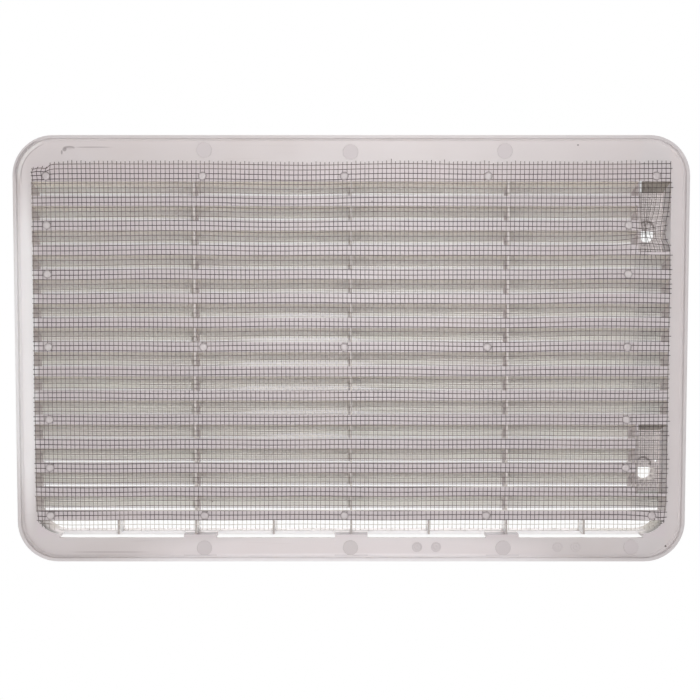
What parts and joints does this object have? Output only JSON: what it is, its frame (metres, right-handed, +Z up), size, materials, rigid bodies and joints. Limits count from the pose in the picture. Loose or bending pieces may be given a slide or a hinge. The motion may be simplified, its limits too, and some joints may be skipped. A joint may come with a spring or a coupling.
{
  "type": "ventilation grille",
  "caption": "Louvred access vent panel for a wall opening: a flat rimmed plate with rain hoods, latch pockets at one side and a woven wire insect screen staked on its back.",
  "frame": {"origin": "middle of the panel, in the plane of the rim's back edge, which meets the wall", "axes": "+X along the panel's width to the right as seen from behind, +Z up, +Y outwards through the louvres"},
  "size_m": [0.482, 0.0268, 0.306],
  "materials": {
    "moulded_abs": "moulded white plastic, satin, yellowed and soiled",
    "woven_wire": "dulled and dirty drawn wire"
  },
  "bodies": {
    "root": {"louvre_panel": "moulded_abs", "insect_screen": "woven_wire"}
  },
  "joints": []
}
